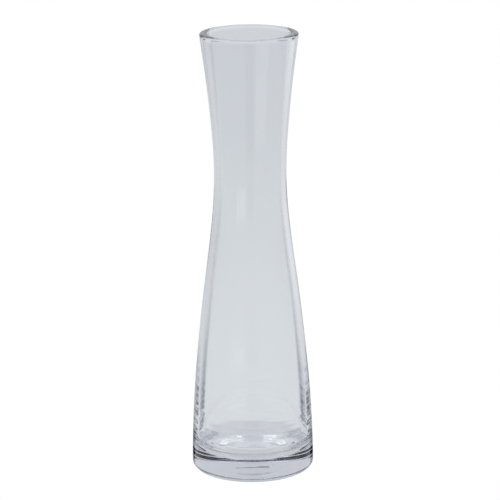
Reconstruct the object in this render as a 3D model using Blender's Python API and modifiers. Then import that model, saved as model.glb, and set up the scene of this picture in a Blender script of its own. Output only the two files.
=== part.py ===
"""A waisted bud vase of clear glass, turned about +Z as one closed solid.

The frame is in metres, +Z up, and its origin is the centre of the foot on the surface
that the vase stands on. The outline is two curves that meet upright at the waist.
"""

import math

import bpy

# Overall sizes
HEIGHT = 0.200
FOOT_RADIUS = 0.0275
WAIST_RADIUS = 0.0162
WAIST_HEIGHT = 0.1316
RIM_RADIUS = 0.0220

# How far each end of an outline curve keeps to its own direction, as a share of the curve's height
FOOT_PULL = 0.442
WAIST_PULL_DOWN = 0.165
WAIST_PULL_UP = 0.276
RIM_PULL = 0.564
RIM_FLARE = 0.135  # radius gained for each unit of height, at the rim

# Glass thickness
WALL = 0.0022
FOOT_WALL = 0.0026
RIM_WALL = 0.0039
BASE_THICKNESS = 0.0092

# Edges and corners
FLOOR_FILLET = 0.0078
RIM_EDGE = 0.0008
FOOT_EDGE = 0.0038

# The shallow hollows in the floor and under the foot, each level in its middle
DISH_MARGIN = 0.0001  # level floor left between the dish and the fillet
DISH_EDGE_WIDTH = 0.0046
DISH_DEPTH = 0.0008
PUNT_RADIUS = 0.0088
PUNT_EDGE_WIDTH = 0.0038
PUNT_DEPTH = 0.0003

# Fineness
TURN_STEPS = 48
WALL_LEVELS = 20
FILLET_STEPS = 8
RIM_EDGE_STEPS = 3
FOOT_EDGE_STEPS = 6
HOLLOW_STEPS = 6
LEAN_RISE = 0.001
BISECTIONS = 40
MERGE_DISTANCE = 0.00001

COLLECTION = "glass_bud_vase"


def clear_scene():
    for obj in list(bpy.data.objects):
        bpy.data.objects.remove(obj)


def bezier(points, t):
    """The point at t on the cubic curve with these four control points."""
    s = 1 - t
    weights = (s**3, 3 * s * s * t, 3 * s * t * t, t**3)
    return tuple(sum(w * p[i] for w, p in zip(weights, points)) for i in range(2))


def outline_curve(height):
    """The control points, as (radius, height), of the outline curve that holds a height."""
    waist = (WAIST_RADIUS, WAIST_HEIGHT)
    if height <= WAIST_HEIGHT:
        return (
            (FOOT_RADIUS, 0.0),
            (FOOT_RADIUS, WAIST_HEIGHT * FOOT_PULL),
            (WAIST_RADIUS, WAIST_HEIGHT * (1 - WAIST_PULL_DOWN)),
            waist,
        )
    flaring = HEIGHT - WAIST_HEIGHT
    return (
        waist,
        (WAIST_RADIUS, WAIST_HEIGHT + flaring * WAIST_PULL_UP),
        (RIM_RADIUS - RIM_FLARE * flaring * RIM_PULL, HEIGHT - flaring * RIM_PULL),
        (RIM_RADIUS, HEIGHT),
    )


def outer_radius(height):
    """The outer radius at a height, by halving the span of the curve that holds it."""
    curve = outline_curve(height)
    low, high = 0.0, 1.0
    for _ in range(BISECTIONS):
        middle = (low + high) / 2
        if bezier(curve, middle)[1] < height:
            low = middle
        else:
            high = middle
    return bezier(curve, low)[0]


def wall_at(height):
    """The wall's thickness, which grows with the square of the distance from the waist."""
    if height > WAIST_HEIGHT:
        above = (height - WAIST_HEIGHT) / (HEIGHT - WAIST_HEIGHT)
        return WALL + (RIM_WALL - WALL) * above * above
    below = (WAIST_HEIGHT - height) / WAIST_HEIGHT
    return WALL + (FOOT_WALL - WALL) * below * below


def inner_radius(height):
    return outer_radius(height) - wall_at(height)


def levels(start, end):
    """Heights from start to end, spread evenly."""
    return [start + (end - start) * i / WALL_LEVELS for i in range(WALL_LEVELS + 1)]


def arc(centre, radius, start, end, steps):
    """Points on an arc, as (radius, height), between two angles in degrees from +X."""
    points = []
    for i in range(steps + 1):
        angle = math.radians(start + (end - start) * i / steps)
        points.append((centre[0] + radius * math.cos(angle), centre[1] + radius * math.sin(angle)))
    return points


def hollow(radius, edge_width, depth):
    """(radius, depth) points of a shallow round hollow, from its middle out over a soft edge."""
    level_radius = radius - edge_width
    points = [(0.0, depth)]
    for i in range(HOLLOW_STEPS + 1):
        share = i / HOLLOW_STEPS
        risen = share * share * (3 - 2 * share)
        points.append((level_radius + edge_width * share, depth * (1 - risen)))
    return points


def fillet():
    """The centre of the arc that joins the floor to the wall, and the wall's lean in degrees there,
    which is where the arc ends."""
    centre_height = BASE_THICKNESS + FLOOR_FILLET
    narrowing = inner_radius(centre_height) - inner_radius(centre_height + LEAN_RISE)
    lean = math.atan2(narrowing, LEAN_RISE)
    meeting = centre_height + FLOOR_FILLET * math.sin(lean)
    centre_radius = inner_radius(meeting) - FLOOR_FILLET * math.cos(lean)
    return (centre_radius, centre_height), math.degrees(lean)


def section():
    """Half of the glass in section: up the inside, over the rim, down the outside, under the foot."""
    fillet_centre, lean = fillet()
    fillet_top = fillet_centre[1] + FLOOR_FILLET * math.sin(math.radians(lean))
    rim_start = HEIGHT - RIM_EDGE
    inner_edge = (inner_radius(rim_start) + RIM_EDGE, rim_start)
    outer_edge = (outer_radius(rim_start) - RIM_EDGE, rim_start)
    foot_edge = (outer_radius(FOOT_EDGE) - FOOT_EDGE, FOOT_EDGE)

    dish = hollow(fillet_centre[0] - DISH_MARGIN, DISH_EDGE_WIDTH, DISH_DEPTH)
    points = [(radius, BASE_THICKNESS - depth) for radius, depth in dish]
    points += arc(fillet_centre, FLOOR_FILLET, -90, lean, FILLET_STEPS)
    points += [(inner_radius(z), z) for z in levels(fillet_top, rim_start)[1:-1]]
    points += arc(inner_edge, RIM_EDGE, 180, 90, RIM_EDGE_STEPS)
    points += arc(outer_edge, RIM_EDGE, 90, 0, RIM_EDGE_STEPS)
    points += [(outer_radius(z), z) for z in levels(rim_start, FOOT_EDGE)[1:-1]]
    points += arc(foot_edge, FOOT_EDGE, 0, -90, FOOT_EDGE_STEPS)
    points += hollow(PUNT_RADIUS, PUNT_EDGE_WIDTH, PUNT_DEPTH)[::-1]
    return points


def turned_mesh(name, points):
    """An object whose profile, in the XZ plane, is turned about +Z by a Screw modifier."""
    mesh = bpy.data.meshes.new(name)
    edges = [(i, i + 1) for i in range(len(points) - 1)]
    mesh.from_pydata([(x, 0.0, z) for x, z in points], edges, [])
    turned = bpy.data.objects.new(name, mesh)
    screw = turned.modifiers.new("turn", "SCREW")
    screw.axis = "Z"
    screw.angle = math.tau
    screw.steps = TURN_STEPS
    screw.render_steps = TURN_STEPS
    screw.use_merge_vertices = True
    screw.merge_threshold = MERGE_DISTANCE
    screw.use_smooth_shade = True
    return turned


def glass_material():
    material = bpy.data.materials.new("glass")
    material.use_nodes = True
    shader = material.node_tree.nodes["Principled BSDF"]
    shader.inputs["Base Color"].default_value = (0.88, 0.92, 0.96, 1.0)
    shader.inputs["Roughness"].default_value = 0.02
    shader.inputs["Metallic"].default_value = 0.0
    shader.inputs["IOR"].default_value = 1.5
    shader.inputs["Transmission Weight"].default_value = 1.0
    return material


def main():
    clear_scene()
    collection = bpy.data.collections.new(COLLECTION)
    bpy.context.scene.collection.children.link(collection)
    vase = turned_mesh("vase_body", section())
    vase.data.materials.append(glass_material())
    collection.objects.link(vase)


main()
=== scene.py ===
"""Looks for the glass bud vase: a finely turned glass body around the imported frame, a pale floor,
soft light and the camera."""

import math

import bpy
import numpy as np
from mathutils import Matrix, Vector, noise


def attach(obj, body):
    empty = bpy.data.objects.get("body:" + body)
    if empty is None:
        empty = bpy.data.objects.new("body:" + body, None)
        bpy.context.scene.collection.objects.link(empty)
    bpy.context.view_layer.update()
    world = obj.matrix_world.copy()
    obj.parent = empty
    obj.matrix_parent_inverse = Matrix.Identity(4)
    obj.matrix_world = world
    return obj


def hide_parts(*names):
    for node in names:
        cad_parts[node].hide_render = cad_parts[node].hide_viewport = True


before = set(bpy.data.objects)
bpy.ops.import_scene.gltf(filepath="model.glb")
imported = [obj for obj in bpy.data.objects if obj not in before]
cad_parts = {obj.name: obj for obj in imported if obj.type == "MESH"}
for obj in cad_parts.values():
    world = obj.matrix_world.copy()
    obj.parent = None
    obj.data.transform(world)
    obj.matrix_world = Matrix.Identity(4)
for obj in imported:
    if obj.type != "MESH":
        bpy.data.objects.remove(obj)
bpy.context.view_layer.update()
NODE = "vase_body"
SAME_POINT = 1e-6
ROUND_DIGITS = 6

# Camera, with its place in metres and its turns in degrees
CAMERA_PLACE = (0.0, -1.2308, 0.4185)
CAMERA_PITCH = 14.451
CAMERA_YAW = 0.020
CAMERA_ROLL = -0.561
LENS_MM = 204.2

# Fineness of the turned glass. Where the section's points are more than WALL_STEP apart in height it
# is a wall, and the rest of it is edges, the floor and the foot.
TURN_STEPS = 192
WALL_DEGREE = 10
WALL_STEP = 0.004
ARC_SPLITS = 4
LOW_HEIGHT = 0.075
LOW_SPACING = 0.0006
HIGH_SPACING = 0.0020

# Unevenness of the inside: rings left by the mould low on the wall, and a slight waviness all over
RING_DEPTH = 0.00012
RING_SPACING = 0.0018
RING_BEND = 1.3
RING_LOW = 0.0100
RING_FULL = 0.0150
RING_HIGH = 0.0600
WAVE_DEPTH = 0.00004
WAVE_ROUND = 4.0
WAVE_RISE = 0.030
FLOOR_WAVE = 0.00004
FLOOR_WAVE_SIZE = 0.0045
FLOOR_WAVE_FADE = 0.00004
PUNT_WAVE = 0.00008
PUNT_WAVE_SIZE = 0.0050
PUNT_WAVE_REACH = 0.0100
PUNT_WAVE_LAYER = 1.0


def cad_section(mesh):
    """Half of the CAD node in section, as (radius, height) points from the middle of the hollow
    under the foot, up the outside, over the rim and down the inside to the middle of the floor."""
    kept = {
        v.index: (round(v.co.x, ROUND_DIGITS), round(v.co.z, ROUND_DIGITS))
        for v in mesh.vertices
        if abs(v.co.y) < SAME_POINT and v.co.x > -SAME_POINT
    }
    beside = {point: set() for point in kept.values()}
    for edge in mesh.edges:
        a, b = (kept.get(i) for i in edge.vertices)
        if a and b and a != b:
            beside[a].add(b)
            beside[b].add(a)
    walk = [min(beside)]
    while onward := [p for p in beside[walk[-1]] if p not in walk]:
        walk.append(onward[0])
    if walk[-1][0] > SAME_POINT:
        walk.append((0.0, walk[-1][1]))
    return walk


def smooth_wall(points):
    """A wall's points respaced along one smooth curve, closest together low on the vase."""
    radii, heights = np.array(points).T
    curve = np.polynomial.Polynomial.fit(heights, radii, WALL_DEGREE)
    low, high = min(heights), max(heights)
    middle = min(LOW_HEIGHT, high)
    fine = np.linspace(low, middle, round((middle - low) / LOW_SPACING) + 1)
    coarse = np.linspace(middle, high, round((high - middle) / HIGH_SPACING) + 1)
    levels = np.concatenate([fine, coarse[1:]])
    if heights[0] > heights[-1]:
        levels = levels[::-1]
    return [(float(curve(z)), float(z)) for z in levels]


def smooth_arc(points):
    """Runs of points with a smooth curve drawn through them, fair where their spacing changes."""
    inner = [np.array(p) for p in points]
    ends = [2 * inner[0] - inner[1], *inner, 2 * inner[-1] - inner[-2]]
    lengths = [float(np.linalg.norm(b - a)) for a, b in zip(ends, ends[1:])]
    steps = [(b - a) / length for a, b, length in zip(ends, ends[1:], lengths)]
    bends = [
        (steps[i] * lengths[i + 1] + steps[i + 1] * lengths[i]) / (lengths[i] + lengths[i + 1])
        for i in range(len(inner))
    ]
    made = []
    for i in range(len(inner) - 1):
        span = lengths[i + 1]
        for split in range(ARC_SPLITS):
            t = split / ARC_SPLITS
            made.append(
                inner[i] * (2 * t**3 - 3 * t**2 + 1)
                + bends[i] * span * (t**3 - 2 * t**2 + t)
                + inner[i + 1] * (3 * t**2 - 2 * t**3)
                + bends[i + 1] * span * (t**3 - t**2)
            )
    return [tuple(map(float, p)) for p in made] + [points[-1]]


def fine_section(walk):
    """The CAD section redrawn with smooth walls and round edges."""
    runs = []
    for a, b in zip(walk, walk[1:]):
        is_wall = abs(b[1] - a[1]) > WALL_STEP
        if not runs or runs[-1][0] != is_wall:
            runs.append((is_wall, [a]))
        runs[-1][1].append(b)
    made = []
    for is_wall, points in runs:
        drawn = smooth_wall(points) if is_wall else smooth_arc(points)
        made += drawn[1:] if made else drawn
    return made


def smooth_step(value, low, high):
    share = min(1.0, max(0.0, (value - low) / (high - low)))
    return share * share * (3 - 2 * share)


def wall_unevenness(x, y, height):
    """How far the inside of the wall stands in from its true round, in the direction (x, y)."""
    wave = noise.noise(Vector((WAVE_ROUND * x, WAVE_ROUND * y, height / WAVE_RISE)))
    rings = noise.noise(Vector((RING_BEND * x, RING_BEND * y, height / RING_SPACING)))
    fading = min(1.0, max(0.0, (RING_HIGH - height) / (RING_HIGH - RING_FULL))) ** 2
    return smooth_step(height, RING_LOW, RING_FULL) * (WAVE_DEPTH * wave + RING_DEPTH * fading * rings)


def uneven_point(radius, height, turn, inside):
    """A point of the glass body, moved off its true round where the real glass is uneven, but never
    below the surface that the vase stands on."""
    x, y = math.cos(turn), math.sin(turn)
    if inside and height > RING_LOW:
        radius -= wall_unevenness(x, y, height)
    elif inside:
        spot = Vector((x * radius, y * radius, 0.0)) / FLOOR_WAVE_SIZE
        fading = smooth_step(RING_LOW - height, 0.0, FLOOR_WAVE_FADE)
        height += FLOOR_WAVE * noise.noise(spot) * fading
    elif height > 0.0 and radius < PUNT_WAVE_REACH:
        spot = Vector((x * radius, y * radius, PUNT_WAVE_LAYER)) / PUNT_WAVE_SIZE
        height += PUNT_WAVE * noise.noise(spot)
    return (radius * x, radius * y, max(0.0, height))


def turned_glass(name, section):
    """A closed body with this section, turned about +Z, with one point at each end on the axis."""
    rings = section[1:-1]
    top = max(range(len(rings)), key=lambda i: rings[i][1])
    turns = [2 * math.pi * i / TURN_STEPS for i in range(TURN_STEPS)]
    points = []
    for i, (radius, height) in enumerate(rings):
        points += [uneven_point(radius, height, turn, i > top) for turn in turns]
    foot_middle, floor_middle = len(points), len(points) + 1
    points += [(0.0, 0.0, section[0][1]), (0.0, 0.0, section[-1][1])]
    faces = []
    for ring in range(len(rings) - 1):
        start, above = ring * TURN_STEPS, (ring + 1) * TURN_STEPS
        for i in range(TURN_STEPS):
            j = (i + 1) % TURN_STEPS
            faces.append((start + i, start + j, above + j, above + i))
    last = (len(rings) - 1) * TURN_STEPS
    for i in range(TURN_STEPS):
        j = (i + 1) % TURN_STEPS
        faces.append((foot_middle, j, i))
        faces.append((floor_middle, last + i, last + j))
    mesh = bpy.data.meshes.new(name)
    mesh.from_pydata(points, [], faces)
    mesh.shade_smooth()
    body = bpy.data.objects.new(name, mesh)
    bpy.context.scene.collection.objects.link(body)
    return body


# Glass: faint clouding, a trace of smear where it has been handled, shallow draw lines, and a grey
# tint that deepens with the glass's thickness
GLASS_IOR = 1.5
CLEAREST = (0.960, 0.969, 0.975, 1.0)
CLOUDIEST = (0.948, 0.960, 0.968, 1.0)
CLOUD_SCALE = 22.0
CLOUD_DETAIL = 3.0
POLISH = 0.0
SMEAR = 0.012
SMEAR_SCALE = 60.0
SMEAR_DETAIL = 4.0
SMEAR_FROM, SMEAR_TO = 0.45, 0.75
DRAW_DEPTH = 0.00004
DRAW_STRETCH = (1.0, 1.0, 0.25)
DRAW_SCALE = 90.0
DRAW_DETAIL = 2.0
TINT_COLOR = (0.748, 0.75, 0.785, 1.0)
TINT_DENSITY = 30.0


def noise_node(tree, place, scale, detail):
    """The factor of a Noise Texture at a place given in metres."""
    node = tree.nodes.new("ShaderNodeTexNoise")
    node.inputs["Scale"].default_value = scale
    node.inputs["Detail"].default_value = detail
    tree.links.new(place, node.inputs["Vector"])
    return node.outputs["Fac"]


def glass_material():
    material = bpy.data.materials.new("clear_glass")
    material.use_nodes = True
    tree = material.node_tree
    shader = tree.nodes["Principled BSDF"]
    shader.inputs["IOR"].default_value = GLASS_IOR
    shader.inputs["Transmission Weight"].default_value = 1.0

    place = tree.nodes.new("ShaderNodeTexCoord").outputs["Object"]
    cloud = noise_node(tree, place, CLOUD_SCALE, CLOUD_DETAIL)
    tone = tree.nodes.new("ShaderNodeValToRGB")
    tone.color_ramp.elements[0].color = CLEAREST
    tone.color_ramp.elements[1].color = CLOUDIEST
    tree.links.new(cloud, tone.inputs["Fac"])
    tree.links.new(tone.outputs["Color"], shader.inputs["Base Color"])

    smear = tree.nodes.new("ShaderNodeMapRange")
    smear.inputs["From Min"].default_value = SMEAR_FROM
    smear.inputs["From Max"].default_value = SMEAR_TO
    smear.inputs["To Min"].default_value = POLISH
    smear.inputs["To Max"].default_value = SMEAR
    tree.links.new(noise_node(tree, place, SMEAR_SCALE, SMEAR_DETAIL), smear.inputs["Value"])
    tree.links.new(smear.outputs["Result"], shader.inputs["Roughness"])

    bump = tree.nodes.new("ShaderNodeBump")
    bump.inputs["Distance"].default_value = DRAW_DEPTH
    stretched = tree.nodes.new("ShaderNodeMapping")
    stretched.inputs["Scale"].default_value = DRAW_STRETCH
    tree.links.new(place, stretched.inputs["Vector"])
    draw = noise_node(tree, stretched.outputs["Vector"], DRAW_SCALE, DRAW_DETAIL)
    tree.links.new(draw, bump.inputs["Height"])
    tree.links.new(bump.outputs["Normal"], shader.inputs["Normal"])
    absorption = tree.nodes.new("ShaderNodeVolumeAbsorption")
    absorption.inputs["Color"].default_value = TINT_COLOR
    absorption.inputs["Density"].default_value = TINT_DENSITY
    tree.links.new(absorption.outputs["Volume"], tree.nodes["Material Output"].inputs["Volume"])
    return material


def add_camera():
    data = bpy.data.cameras.new("camera")
    data.lens = LENS_MM
    camera = bpy.data.objects.new("camera", data)
    bpy.context.scene.collection.objects.link(camera)
    turn = (
        Matrix.Rotation(math.radians(CAMERA_YAW), 4, "Z")
        @ Matrix.Rotation(math.radians(90 - CAMERA_PITCH), 4, "X")
        @ Matrix.Rotation(math.radians(CAMERA_ROLL), 4, "Z")
    )
    camera.matrix_world = Matrix.Translation(CAMERA_PLACE) @ turn
    bpy.context.scene.camera = camera


# The surroundings that the glass refracts and reflects, as soft cards in an even grey studio: middle
# azimuth, half width, lowest and highest elevation, all in degrees, brightness, and the width of the
# soft edge. Azimuth 0 is straight behind the vase as the camera sees it, and turns towards -X.
BACKDROP = (1.0, 1.0, 1.0, 1.0)
FLOOR_HALF = 3.0
FLOOR_HEIGHT = -0.0004
STUDIO_GREY = 0.785
STUDIO_TINT = (0.975, 1.0, 0.982)
SHADE_TINT = (0.0, 0.003, 0.045)  # added everywhere, so it shows most where the studio is dark
CARDS = [
    (180, 90, -90, 90, 0.80, 30),
    (0, 60, -14, 3, 0.68, 8),
    (0, 60, -62, -34, 0.66, 12),
    (0, 180, -90, -62, 0.60, 8),
    (0, 80, 8, 36, 0.88, 8),
    (45, 9, -4, 12, 0.42, 6),
    (-45, 9, -4, 12, 0.42, 6),
    (24, 11, -21, -16, 0.0, 5),
    (-26, 13, -22, -16, 0.0, 5),
    (26, 7, -11, -3, 0.55, 6),
    (-38, 14, -12, -3, 0.86, 8),
    (88, 64, 46, 84, 1.5, 10),
    (-88, 64, 46, 84, 1.5, 10),
    (-146, 16, -26, -20, 1.5, 4),
    (180, 12, -27, -16, 0.4, 8),
]


def math_node(tree, operation, *values):
    """A Math node fed with numbers or other nodes' outputs, and its output."""
    node = tree.nodes.new("ShaderNodeMath")
    node.operation = operation
    for socket, value in zip(node.inputs, values):
        if isinstance(value, (int, float)):
            socket.default_value = value
        else:
            tree.links.new(value, socket)
    return node.outputs[0]


def soft_span(tree, value, middle, half_width, edge):
    """1 where value is within half_width of middle, and 0 outside, with a soft edge between."""
    off = math_node(tree, "ABSOLUTE", math_node(tree, "SUBTRACT", value, middle))
    node = tree.nodes.new("ShaderNodeMapRange")
    node.interpolation_type = "SMOOTHSTEP"
    tree.links.new(off, node.inputs["Value"])
    node.inputs["From Min"].default_value = half_width - edge / 2
    node.inputs["From Max"].default_value = half_width + edge / 2
    node.inputs["To Min"].default_value = 1.0
    node.inputs["To Max"].default_value = 0.0
    return node.outputs["Result"]


def for_camera_only(tree, seen, otherwise):
    """One shader for what the camera sees straight, and another for every other ray."""
    path = tree.nodes.new("ShaderNodeLightPath")
    shown = tree.nodes.new("ShaderNodeMixShader")
    tree.links.new(path.outputs["Is Camera Ray"], shown.inputs["Fac"])
    tree.links.new(otherwise, shown.inputs[1])
    tree.links.new(seen, shown.inputs[2])
    return shown.outputs["Shader"]


def studio_color(tree):
    """The studio's colour in each direction, with the cards laid one over another."""
    direction = tree.nodes.new("ShaderNodeSeparateXYZ")
    tree.links.new(tree.nodes.new("ShaderNodeTexCoord").outputs["Generated"], direction.inputs[0])
    x, y, z = direction.outputs
    turn = math_node(tree, "ARCTAN2", math_node(tree, "MULTIPLY", x, -1.0), y)
    azimuth = math_node(tree, "DEGREES", turn)
    elevation = math_node(tree, "DEGREES", math_node(tree, "ARCSINE", z))
    light = STUDIO_GREY
    for middle, half_width, low, high, brightness, edge in CARDS:
        off = math_node(tree, "WRAP", math_node(tree, "SUBTRACT", azimuth, middle), 180.0, -180.0)
        across = soft_span(tree, off, 0.0, half_width, edge)
        up = soft_span(tree, elevation, (low + high) / 2, (high - low) / 2, edge)
        share = math_node(tree, "MULTIPLY", across, up)
        change = math_node(tree, "SUBTRACT", brightness, light)
        light = math_node(tree, "MULTIPLY_ADD", share, change, light)
    tint = tree.nodes.new("ShaderNodeVectorMath")
    tint.operation = "SCALE"
    tint.inputs[0].default_value = STUDIO_TINT
    tree.links.new(light, tint.inputs["Scale"])
    shaded = tree.nodes.new("ShaderNodeVectorMath")
    shaded.operation = "ADD"
    shaded.inputs[0].default_value = SHADE_TINT
    tree.links.new(tint.outputs["Vector"], shaded.inputs[1])
    return shaded.outputs["Vector"]


def add_world():
    world = bpy.data.worlds.new("studio")
    bpy.context.scene.world = world
    world.use_nodes = True
    tree = world.node_tree
    studio = tree.nodes["Background"]
    tree.links.new(studio_color(tree), studio.inputs["Color"])
    backdrop = tree.nodes.new("ShaderNodeBackground")
    backdrop.inputs["Color"].default_value = BACKDROP
    shown = for_camera_only(tree, backdrop.outputs["Background"], studio.outputs["Background"])
    tree.links.new(shown, tree.nodes["World Output"].inputs["Surface"])


def add_floor():
    """A level pale floor, evenly lit. The glass sees past it to the studio's own cards below."""
    mesh = bpy.data.meshes.new("floor")
    signs = ((-1, -1), (1, -1), (1, 1), (-1, 1))
    corners = [(x * FLOOR_HALF, y * FLOOR_HALF, FLOOR_HEIGHT) for x, y in signs]
    mesh.from_pydata(corners, [], [(0, 1, 2, 3)])
    floor = bpy.data.objects.new("floor", mesh)
    bpy.context.scene.collection.objects.link(floor)
    material = bpy.data.materials.new("pale_floor")
    material.use_nodes = True
    tree = material.node_tree
    tree.nodes.remove(tree.nodes["Principled BSDF"])
    lit = tree.nodes.new("ShaderNodeEmission")
    lit.inputs["Color"].default_value = BACKDROP
    clear = tree.nodes.new("ShaderNodeBsdfTransparent")
    shown = for_camera_only(tree, lit.outputs["Emission"], clear.outputs["BSDF"])
    tree.links.new(shown, tree.nodes["Material Output"].inputs["Surface"])
    mesh.materials.append(material)


# How often light may bounce on its way through the glass
BOUNCES = 32
GLOSSY_BOUNCES = 24


def set_light_paths():
    cycles = bpy.context.scene.cycles
    cycles.max_bounces = BOUNCES
    cycles.glossy_bounces = GLOSSY_BOUNCES
    cycles.transmission_bounces = BOUNCES
    bpy.context.scene.view_settings.view_transform = "Standard"


vase = turned_glass("glass_body", fine_section(cad_section(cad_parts[NODE].data)))
vase.data.materials.append(glass_material())
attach(vase, "root")
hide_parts(NODE)
add_camera()
add_floor()
add_world()
set_light_paths()
